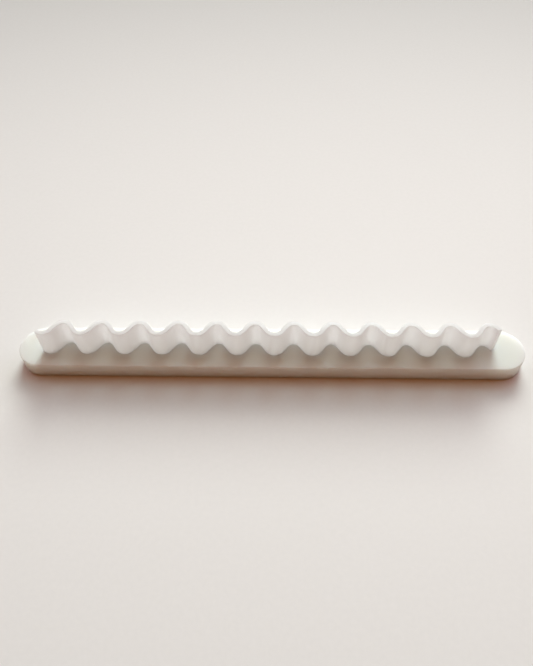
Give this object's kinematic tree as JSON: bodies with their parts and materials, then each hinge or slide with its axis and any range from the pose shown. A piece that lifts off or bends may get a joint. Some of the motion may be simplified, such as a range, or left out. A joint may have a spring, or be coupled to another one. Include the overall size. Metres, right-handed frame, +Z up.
{
  "type": "wave scoring board",
  "caption": "Narrow handle board with round ends and one upright wave-shaped scoring rule along its top, for creasing or embossing a wavy line in paper or card.",
  "frame": {"origin": "middle of the board's flat underside", "axes": "+X along the board, +Y across it, +Z up out of the board towards the scoring edge"},
  "size_m": [0.1348, 0.0126, 0.0132],
  "materials": {
    "board_plastic": "matt white plastic with a fine even skin",
    "rule_plastic": "thin matt white plastic that lets some light through"
  },
  "bodies": {
    "root": {"base_board": "board_plastic", "scoring_rule": "rule_plastic"}
  },
  "joints": []
}
